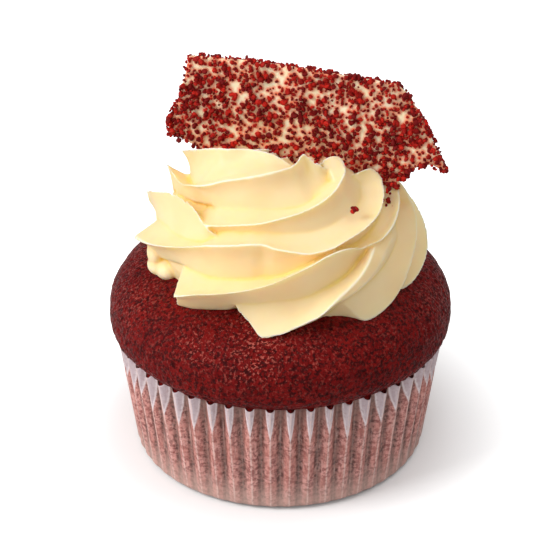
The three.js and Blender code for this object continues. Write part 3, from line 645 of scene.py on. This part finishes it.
def cake_material():
    n = Nodes("red_sponge")
    big = n.noise(7.0, 3.0)
    fine = n.noise(0.85, 4.0, 0.72)
    speck = n.noise(0.54, 2.0, 0.6)
    cells = n.voronoi(0.8)
    c = n.mix(n.ramp(big, 0.3, 0.7), srgb(106, 6, 7), srgb(122, 13, 10))
    c = n.mix(n.ramp(fine, 0.42, 0.55, 0.95, 0.0), c, srgb(54, 2, 3))
    # painted glints: paler grains where the light would catch the crust, thick in some patches and thin in others
    patch = n.math('MULTIPLY', n.ramp(n.noise(9.0, 2.0), 0.38, 0.60, 0.45, 1.0), n.attr("glint_zone"))
    c = n.mix(n.math('MULTIPLY', n.ramp(speck, 0.55, 0.63), patch), c, srgb(178, 86, 74))
    n.set(Base_Color=c, Roughness=n.ramp(speck, 0.42, 0.60, 0.60, 0.28))
    h = n.math('ADD', n.math('MULTIPLY', fine, 1.0), n.math('MULTIPLY', cells, 0.3))
    b1 = n.bump(h, 0.85, 0.50)
    b2 = n.bump(speck, 0.85, 0.28, b1)
    n.set(Normal=b2)
    n.bsdf.inputs["Specular IOR Level"].default_value = 0.09
    return n.mat


# ---------------------------------------------------------------- paper case
def build_case():
    per = 24
    cols = FLUTES * per
    # height rows: a round foot, then the wall
    foot = [(BASE_R - 1.5, 0.0, 0.0)]
    for i in range(1, 9):
        t = i / 8 * math.pi / 2
        foot.append((BASE_R - 0.5 + (FOOT_R - BASE_R + 0.5) * math.sin(t), BASE_DEPTH * (i / 8) ** 2, FOOT_Z * (1 - math.cos(t))))
    rows = list(foot)
    m = 26
    for i in range(1, m + 1):
        z = FOOT_Z + (RIM_Z - FOOT_Z) * (1 - (1 - i / m) ** 1.25)
        rows.append((*wall_at(z), z))
    az, ph, fl, near = pleats(cols)
    # the rim is cut a little hollow across each pleat's crest
    dip = 0.50 * np.sqrt(np.clip(1 - (ph / 0.19) ** 2, 0, 1)) * PLEAT_DIP[near]

    def ring(r, d, z, off):
        P = pleat_ring(cols, r, d, z, off)
        P[:, 2] -= dip * smooth(z, RIM_Z - 3.0, RIM_Z)
        return P

    outer = [ring(r, d, z, 0.0) for r, d, z in rows]
    inner = [ring(r, d, max(z, 0.14), 0.14) for r, d, z in rows[::-1]]
    allr = outer + inner
    V = np.concatenate(allr)
    F = [tuple(f) for f in grid_faces(len(allr), cols)]
    k = len(V)
    V = np.concatenate([V, [[0, 0, 0.0], [0, 0, 0.14]]])
    c = np.arange(cols); c1 = (c + 1) % cols
    F += [(k, b, a) for a, b in zip(c, c1)]
    o = (len(allr) - 1) * cols
    F += [(k + 1, o + a, o + b) for a, b in zip(c, c1)]
    ob = mesh_object("paper_case", V, F)
    hh = np.array([z for _, _, z in rows] + [z for _, _, z in rows[::-1]])
    float_attribute(ob, "phase", np.append(np.tile(np.abs(ph) * 2, len(allr)), [0, 0]))
    float_attribute(ob, "height", np.append(np.repeat(hh / RIM_Z, cols), [0, 0]))
    float_attribute(ob, "tall", np.append(np.tile(PLEAT_WHITE[near], len(allr)), [1, 1]))
    # the white wedges are wider and lean towards the front on the pleats at the sides
    crest = (FIRST_FLUTE + near * 360.0 / FLUTES + 180) % 360 - 180
    turn = smooth(np.abs(crest), 8, 45)
    s = 1 - np.clip((1 - hh[:, None] / RIM_Z) / (PLEAT_WHITE[near] * 0.31), 0, 1) ** 1.7
    vee = np.abs(ph * 2 + np.sign(crest) * 0.30 * turn * s) / (1 + 0.34 * turn)
    float_attribute(ob, "vee", np.append(vee.ravel(), [1, 1]))
    inside = np.repeat([0.0] * len(rows) + [1.0] * len(rows), cols)
    float_attribute(ob, "inside", np.append(inside, [0, 1]))
    return ob


def case_material():
    n = Nodes("greaseproof_paper")
    ph, h, tall = n.attr("phase"), n.attr("height"), n.attr("tall")
    mott = n.noise(0.75, 4.0, 0.65)
    mott2 = n.noise(3.2, 2.0)
    streak = n.noise(0.55, 3.0, 0.6, vec=n.stretch(1.0, 1.0, 0.16))
    # crest colour against groove colour, where the sponge lies behind; the lighter crests and darker grooves are also
    # partly painted light and painted shade
    crest_c = n.mix(n.ramp(mott, 0.38, 0.59), srgb(148, 80, 74), srgb(220, 158, 148))
    crest_c = n.mix(n.ramp(mott2, 0.40, 0.65, 0.0, 0.5), crest_c, srgb(192, 116, 104))
    groove_c = n.mix(n.ramp(mott, 0.38, 0.59), srgb(86, 47, 41), srgb(160, 109, 99))
    body = n.mix(n.ramp(ph, 0.46, 0.78), crest_c, groove_c)
    # where the paper stands off at the bottom of a groove it is greyer
    body = n.mix(n.ramp(ph, 0.86, 0.98, 0.0, 0.3), body, srgb(168, 142, 132))
    body = n.mix(n.ramp(streak, 0.50, 0.70, 0.0, 0.45), body, srgb(126, 86, 78))
    body = n.mix(n.ramp(streak, 0.30, 0.44, 0.40, 0.0), body, srgb(222, 184, 174))
    # browner close under the rim, paler towards the foot
    body = n.mix(n.ramp(h, 0.72, 1.0, 0.0, 0.65), body, srgb(136, 102, 92))
    body = n.mix(n.ramp(h, 0.02, 0.34, 0.60, 0.0), body, srgb(206, 172, 160))
    # painted contact shadow: a dark line where the foot meets what it stands on
    body = n.mix(n.ramp(h, 0.004, 0.030, 0.75, 0.0), body, srgb(84, 66, 58))
    # white wedge at the top of each pleat, where paper stands off the sponge
    down = n.math('DIVIDE', n.math('SUBTRACT', 1.0, h), n.math('MULTIPLY', tall, 0.31))
    half = n.math('MULTIPLY', n.math('SUBTRACT', 1.0, n.math('POWER', n.math('MAXIMUM', down, 0.0), 1.7)), 0.44)
    edge = n.math('SUBTRACT', half, n.attr("vee"))
    edge = n.math('ADD', edge, n.math('MULTIPLY', n.math('SUBTRACT', mott, 0.5), 0.12))
    wedge = n.ramp(edge, -0.05, 0.06)
    # painted highlight and shade: the wedge is bright along its borders and a duller lavender grey in its middle
    white = n.mix(n.ramp(edge, 0.02, 0.18), srgb(240, 228, 230), srgb(194, 174, 180))
    white = n.mix(n.ramp(streak, 0.35, 0.65, 0.0, 0.4), white, srgb(226, 212, 214))
    white = n.mix(n.ramp(mott, 0.48, 0.64, 0.0, 0.35), white, srgb(172, 136, 136))
    col = n.mix(wedge, body, white)
    # painted highlight: a pale line along each crest of the folded paper
    line = n.math('MULTIPLY', n.ramp(ph, 0.0, 0.15, 1.0, 0.0), n.ramp(mott, 0.34, 0.60, 0.15, 0.70))
    col = n.mix(line, col, srgb(236, 206, 196))
    inside = n.attr("inside")
    col = n.mix(inside, col, srgb(170, 120, 112))
    n.set(Base_Color=col, Roughness=0.45)
    n.set(Normal=n.bump(n.noise(0.45, 3.0), 0.2, 0.06))
    n.bsdf.inputs["Specular IOR Level"].default_value = 0.4
    n.bsdf.inputs["Coat Weight"].default_value = 0.15
    n.bsdf.inputs["Coat Roughness"].default_value = 0.3
    return n.mat


# --------------------------------------------------------------------- shard
SHARD_T, SHARD_YAW, SHARD_LEAN, SHARD_Z = 3.0, 13.3, 4.0, 66.0
SHARD_OUTLINE = [
    (-18.6, 17.6), (-6.7, 17.9), (7.0, 17.0), (23.0, 15.9), (25.4, 14.2),
    (30.5, 5.0), (33.4, -1.7), (30.4, -0.2), (27.6, -1.0), (24.2, -4.6),
    (22.0, -9.8), (6.0, -8.2), (-15.6, -2.4), (-23.0, 0.8), (-23.2, 2.8),
    (-20.8, 8.5),
]


def shard_frame():
    yaw, lean = math.radians(-SHARD_YAW), math.radians(SHARD_LEAN)
    S = np.array([math.cos(yaw), math.sin(yaw), 0.0])
    N0 = np.cross(S, [0, 0, 1.0])
    U = np.array([0, 0, 1.0]) * math.cos(lean) - N0 * math.sin(lean)
    N = np.cross(S, U)
    return S, U, N, np.array([0.0, 0.0, SHARD_Z])


def to_shard(s, t, n):
    """the broken top and right edges slant, lower and further in at the back"""
    S, U, N, O = shard_frame()
    s, t, n = (np.asarray(q, float) for q in (s, t, n))
    slant = np.clip(n, -SHARD_T, 0)
    s, t = s + 0.28 * slant * smooth(s, 15, 25), t + 0.37 * slant * smooth(t, 2, 12)
    return O + s[..., None] * S + t[..., None] * U + n[..., None] * N


def fine_outline(step=0.5):
    pts = np.array(SHARD_OUTLINE)
    out = []
    for a, b in zip(pts, np.roll(pts, -1, 0)):
        n = max(1, int(round(np.hypot(*(b - a)) / step)))
        for i in range(n):
            out.append(a + (b - a) * i / n)
    out = np.array(out)
    # broken edge: small irregular steps
    P3 = np.c_[out, np.zeros(len(out))]
    c = out.mean(0)
    d = out - np.array([4.0, 4.0])
    d /= np.linalg.norm(d, axis=1)[:, None]
    out = out + d * (0.35 * fbm(P3, 2.2, 71, 3))[:, None]
    return out


def inside_polygon(P, poly):
    x, y = P[:, 0], P[:, 1]
    inside = np.zeros(len(P), bool)
    j = len(poly) - 1
    for i in range(len(poly)):
        xi, yi = poly[i]; xj, yj = poly[j]
        c = ((yi > y) != (yj > y)) & (x < (xj - xi) * (y - yi) / (yj - yi + 1e-12) + xi)
        inside ^= c
        j = i
    return inside


def edge_distance(P, poly):
    d = np.full(len(P), 1e9)
    for a, b in zip(poly, np.roll(poly, -1, 0)):
        ab = b - a
        t = np.clip(((P - a) @ ab) / (ab @ ab + 1e-12), 0, 1)
        q = a + t[:, None] * ab
        d = np.minimum(d, np.hypot(*(P - q).T))
    return d


def build_shard():
    poly = fine_outline()
    n = len(poly)
    rings = []
    # around the edge: front bevel, side, back bevel
    prof = [(-0.55, 0.0), (-0.12, -0.12), (0.0, -0.55), (0.05, -1.5), (0.0, -2.45), (-0.12, -2.88), (-0.55, -3.0)]
    nxt, prv = np.roll(poly, -1, 0), np.roll(poly, 1, 0)
    tang = nxt - prv
    tang /= np.linalg.norm(tang, axis=1)[:, None]
    nor = np.c_[-tang[:, 1], tang[:, 0]]  # outward for a clockwise outline
    for off, nn in prof:
        q = poly + nor * off
        P3 = np.c_[q, np.full(n, nn)]
        rings.append(to_shard(q[:, 0], q[:, 1], nn + 0.12 * fbm(P3, 3.0, 5, 2)))
    V = np.concatenate(rings)
    F = [tuple(f) for f in grid_faces(len(rings), n, flip=False)]
    F.append(tuple(range(n)))
    F.append(tuple(range(len(V) - 1, len(V) - n - 1, -1)))
    ob = mesh_object("white_chocolate", V, F)
    bm = bmesh.new(); bm.from_mesh(ob.data)
    bmesh.ops.recalc_face_normals(bm, faces=bm.faces)
    bmesh.ops.triangulate(bm, faces=[f for f in bm.faces if len(f.verts) > 4])
    bm.to_mesh(ob.data); bm.free()
    m = ob.modifiers.new("r", 'REMESH'); m.mode = 'VOXEL'; m.voxel_size = 0.26 * MM; m.adaptivity = 0.0
    m = ob.modifiers.new("s", 'SMOOTH'); m.factor = 0.5; m.iterations = 2
    apply_modifiers(ob)
    ob.data.polygons.foreach_set("use_smooth", [True] * len(ob.data.polygons))
    return ob


def shard_material():
    n = Nodes("white_chocolate")
    big = n.noise(3.5, 3.0)
    c = n.mix(n.ramp(big, 0.35, 0.65), srgb(255, 232, 190), srgb(255, 240, 204))
    halo = n.attr("halo")
    stain = n.noise(1.0, 3.0, 0.6)
    c = n.mix(n.math('MULTIPLY', halo, n.ramp(stain, 0.30, 0.60, 0.60, 1.0)), c, srgb(250, 112, 66))
    n.set(Base_Color=c, Roughness=0.45)
    n.set(Normal=n.bump(n.noise(1.4, 3.0), 0.25, 0.2))
    n.bsdf.inputs["Subsurface Weight"].default_value = 0.2
    n.bsdf.inputs["Subsurface Radius"].default_value = (1.0, 0.7, 0.4)
    n.bsdf.inputs["Subsurface Scale"].default_value = 1.0 * MM
    return n.mat


# -------------------------------------------------------------------- crumbs
def ico(sub):
    bm = bmesh.new()
    bmesh.ops.create_icosphere(bm, subdivisions=sub, radius=1.0)
    V = np.array([v.co[:] for v in bm.verts])
    F = np.array([[v.index for v in f.verts] for f in bm.faces])
    bm.free()
    return V, F


def crumb_batch(name, centres, sizes, seed):
    """crumbs as one mesh: each a lumpy grain at centres (mm) of radius sizes (mm)"""
    rng = np.random.default_rng(seed)
    small, big = ico(1), ico(2)
    V, F, T = [], [], []
    k = 0
    for c, s in zip(centres, sizes):
        v, f = big if s > 0.44 else small
        q = rng.normal(size=4); q /= np.linalg.norm(q)
        w, x, y, z = q
        R = np.array([[1 - 2 * (y * y + z * z), 2 * (x * y - z * w), 2 * (x * z + y * w)],
                      [2 * (x * y + z * w), 1 - 2 * (x * x + z * z), 2 * (y * z - x * w)],
                      [2 * (x * z - y * w), 2 * (y * z + x * w), 1 - 2 * (x * x + y * y)]])
        st = rng.uniform(0.7, 1.25, 3)
        off = rng.uniform(0, 50, 3)
        lump = 1 + 0.38 * vnoise(v * 1.0 + off, 0.9, seed) + 0.15 * vnoise(v + off, 0.4, seed + 1)
        p = (v * lump[:, None] * st) @ R.T * s + c
        V.append(p); F.append(f + k); k += len(v)
        T.append(np.full(len(v), rng.uniform()))
    V = np.concatenate(V); F = np.concatenate(F)
    ob = mesh_object(name, V, F, smooth_shading=False)
    float_attribute(ob, "tone", np.concatenate(T))
    return ob


def crumb_material():
    n = Nodes("red_crumbs")
    t = n.attr("tone")
    c = n.mix(n.ramp(t, 0.25, 1.0, smoothstep=False), srgb(112, 6, 7), srgb(202, 34, 20))
    c = n.mix(n.ramp(n.noise(0.35, 3.0), 0.4, 0.7, 0.0, 0.55), c, srgb(94, 5, 6))
    n.set(Base_Color=c, Roughness=0.62)
    n.set(Normal=n.bump(n.noise(0.22, 3.0), 0.5, 0.08))
    n.bsdf.inputs["Specular IOR Level"].default_value = 0.15
    return n.mat


STRAYS = [((14.30, -16.8, 61.4), 0.16, 5, 0.50), ((21.1, -9.2, 59.1), 0.42, 9, 0.46), ((21.2, -9.0, 61.9), 0.50, 12, 0.44)]

# where crumbs are thin (place along, up, half width, half height, share left) and where
# they pile up, on the shard's front face
BARE = [(-17.5, -0.5, 4.0, 1.4, 0.25), (-15.5, 15.2, 3.4, 1.4, 0.45), (-9.5, 3.0, 1.3, 3.6, 0.3), (0.6, 13.6, 2.6, 3.4, 0.22),
        (5.0, 4.6, 3.4, 1.2, 0.35), (18.6, 10.4, 1.6, 2.4, 0.35), (26.8, 0.9, 3.2, 0.9, 0.35), (30.0, 1.2, 1.6, 0.9, 0.4),
        (2.0, 4.0, 5.0, 5.0, 0.80)]
PILES = [(-22.0, 2.6, 1.5, 1.9, 2.2), (-17.0, 12.2, 2.6, 2.8, 1.3), (-12.0, 9.6, 4.6, 1.8, 1.3), (-6.5, 14.6, 2.4, 2.6, 1.3),
         (-12.0, 3.4, 2.4, 2.8, 1.3), (26.0, 8.0, 4.5, 4.0, 1.35), (11.0, 12.8, 3.4, 2.2, 1.3), (7.5, 7.4, 3.0, 1.4, 1.2), (22.5, -6.5, 2.0, 3.2, 1.6),
         (32.2, -0.8, 1.3, 1.8, 2.4), (25.5, 5.4, 3.2, 1.4, 1.3), (12.0, -5.0, 7.0, 2.0, 1.4), (-6.0, -2.4, 7.0, 1.2, 1.4),
         (24.0, 4.0, 6.0, 6.0, 1.32), (-18.0, 6.0, 5.0, 7.0, 1.18)]


def shard_crumbs(side):
    rng = np.random.default_rng(42 + side)
    poly = fine_outline()
    P = rng.uniform((-25, -11), (35, 19), (9800, 2))
    inside = inside_polygon(P, poly)
    P = P[inside | (edge_distance(P, poly) < 0.28)]
    Q = np.c_[P, np.full(len(P), 20.0 * side)]
    dens = 0.86 + 1.20 * fbm(Q, 3.0, 91, 3, 0.6)
    for x, y, w, h, k in BARE + PILES:
        near = np.exp(-(((P[:, 0] * side - x * side) / w) ** 2 + ((P[:, 1] - y) / h) ** 2))
        if side > 0:
            dens = dens * (1 + (k - 1) * near) + max(0.0, k - 1) * 0.3 * near
    keep = rng.uniform(size=len(P)) < np.clip(dens, 0.03, 1.25) * 0.47
    P = P[keep]
    s = rng.lognormal(math.log(0.33), 0.28, len(P)).clip(0.20, 0.58)
    # where they lie thick some rest on others
    up = rng.uniform(size=len(P)) < 0.35 * smooth(dens[keep], 0.7, 1.2)
    nn = 0.10 + 0.5 * s + up * rng.uniform(0.2, 0.55, len(P))
    nn = nn if side > 0 else -SHARD_T - nn
    cen, siz = [to_shard(P[:, 0], P[:, 1], nn)], [s]
    if side > 0:
        # along the broken edges
        e = poly[rng.integers(0, len(poly), 330)] + rng.normal(0, 0.25, (330, 2))
        e = e[e[:, 1] > -3.2]
        # more at the left corner, at the tip and where the shard meets the frosting
        for x, y, w, h, count in [(-22.6, 1.6, 0.9, 1.0, 30), (32.3, -0.6, 0.6, 1.1, 15), (33.3, -1.9, 0.4, 0.4, 4),
                                  (22.6, -7.6, 0.9, 1.7, 44)]:
            e = np.concatenate([e, rng.normal((x, y), (w * 0.6, h * 0.6), (count, 2))])
        # none hangs free of the slab
        e = e[inside_polygon(e, poly) | (edge_distance(e, poly) < 0.36)]
        s2 = rng.lognormal(math.log(0.33), 0.26, len(e)).clip(0.24, 0.55)
        cen.append(to_shard(e[:, 0], e[:, 1], rng.uniform(-SHARD_T, 0.2, len(e)))); siz.append(s2)
    return np.concatenate(cen), np.concatenate(siz)


def stray_crumbs():
    """centres (mm) of the grains of two small clumps that lie on the frosting"""
    rng = np.random.default_rng(8)
    cen, siz = [], []
    for at, spread, count, size in STRAYS:
        cen.append(np.array(at) + rng.normal(0, spread, (count, 3)))
        siz.append(rng.uniform(0.8, 1.1, count) * size)
    return np.concatenate(cen), np.concatenate(siz)


def stain_shard(ob, cen, siz):
    """attribute 'halo': how near the surface is to a crumb, which colours the chocolate"""
    from mathutils.kdtree import KDTree
    tree = KDTree(len(cen))
    for i, c in enumerate(cen):
        tree.insert(Vector(c), i)
    tree.balance()
    V = np.empty(len(ob.data.vertices) * 3)
    ob.data.vertices.foreach_get("co", V)
    V = V.reshape(-1, 3) / MM
    h = np.zeros(len(V))
    for i, v in enumerate(V):
        _, j, d = tree.find(Vector(v))
        h[i] = d - 0.8 * siz[j]
    float_attribute(ob, "halo", 1 - smooth(h, 0.0, 0.70))


# ----------------------------------------------------------------- the pieces
swirl = build_frosting()
swirl.data.materials.append(frosting_material())
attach(swirl, "root"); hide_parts("frosting")

sponge = build_cake()
sponge.data.materials.append(cake_material())
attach(sponge, "root"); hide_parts("cake")

case = build_case()
case.data.materials.append(case_material())
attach(case, "root"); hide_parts("case")

choc = build_shard()
red = crumb_material()
grains = []
for side, name in ((1, "crumbs_front"), (-1, "crumbs_back")):
    cen, siz = shard_crumbs(side)
    grains.append((cen, siz))
    crumbs = crumb_batch(name, cen, siz, 7 + side)
    crumbs.data.materials.append(red)
    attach(crumbs, "root")
stain_shard(choc, np.concatenate([c for c, s in grains]), np.concatenate([s for c, s in grains]))
choc.data.materials.append(shard_material())
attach(choc, "root"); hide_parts("shard")

# a few crumbs fell on the frosting
cen, siz = stray_crumbs()
crumbs = crumb_batch("crumbs_stray", cen, siz, 19)
crumbs.data.materials.append(red)
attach(crumbs, "root")

# ---------------------------------------------------------------------- stage
def plane(name, z, base, glow):
    bpy.ops.mesh.primitive_plane_add(size=6.0, location=(0, 0, z))
    ob = bpy.context.object
    ob.name = name
    m = Nodes(name + "_white")
    m.set(Base_Color=(base, base, base, 1.0), Roughness=0.9)
    if glow:
        # washed out further from the middle
        far = m.node("ShaderNodeVectorMath", operation='LENGTH')
        m.link(m.coord, far.inputs[0])
        m.link(m.ramp(far.outputs["Value"], 0.028, 0.060, 0.05, glow), m.bsdf.inputs["Emission Strength"])
    m.bsdf.inputs["Specular IOR Level"].default_value = 0.0
    m.bsdf.inputs["Emission Color"].default_value = (1.0, 1.0, 1.0, 1.0)
    m.bsdf.inputs["Emission Strength"].default_value = glow
    ob.data.materials.append(m.mat)
    return ob


# the floor that shows is washed out white; a dimmer one under it gives the bounce light
floor = plane("floor", -0.0002, 0.93, 0.62)
floor.visible_diffuse = floor.visible_glossy = floor.visible_shadow = False
bounce = plane("floor_bounce", -0.0004, 0.68, 0.0)
bounce.visible_camera = False

world = bpy.data.worlds.new("studio")
scene.world = world
world.use_nodes = True
world.node_tree.nodes["Background"].inputs[0].default_value = (1.0, 1.0, 1.0, 1.0)
world.node_tree.nodes["Background"].inputs[1].default_value = 0.35
scene.view_settings.view_transform = 'Standard'
scene.view_settings.look = 'None'


def area(name, pos, target, size, power, color=(1, 1, 1)):
    L = bpy.data.lights.new(name, 'AREA')
    L.energy = power; L.size = size; L.color = color
    o = bpy.data.objects.new(name, L)
    scene.collection.objects.link(o)
    o.location = pos
    d = Vector(target) - Vector(pos)
    o.rotation_euler = d.to_track_quat('-Z', 'Y').to_euler()
    return o


area("key", (-0.50, -0.23, 0.52), (0, 0, 0.03), 0.34, 3.55)
area("left", (-0.60, -0.12, 0.12), (0, 0, 0.03), 0.40, 0.75)
area("front", (-0.02, -0.64, 0.54), (0, 0, 0.03), 0.40, 0.95)
area("top", (0.26, 0.00, 0.75), (0, 0, 0.03), 0.60, 1.76)

# --------------------------------------------------------------------- camera
EL, DIST, FOC, TX, TZ = 30.44, 409.5, 1994.8, 0.02, 35.88
cam = bpy.data.cameras.new("cam")
cam.sensor_width = 36.0
cam.lens = FOC / 560 * 36.0
cam.clip_start, cam.clip_end = 0.01, 20
co = bpy.data.objects.new("cam", cam)
scene.collection.objects.link(co)
e = math.radians(EL)
co.location = (TX * MM, -DIST * MM * math.cos(e), (TZ + DIST * math.sin(e)) * MM)
co.rotation_euler = (math.radians(90 - EL), 0, 0)
scene.camera = co
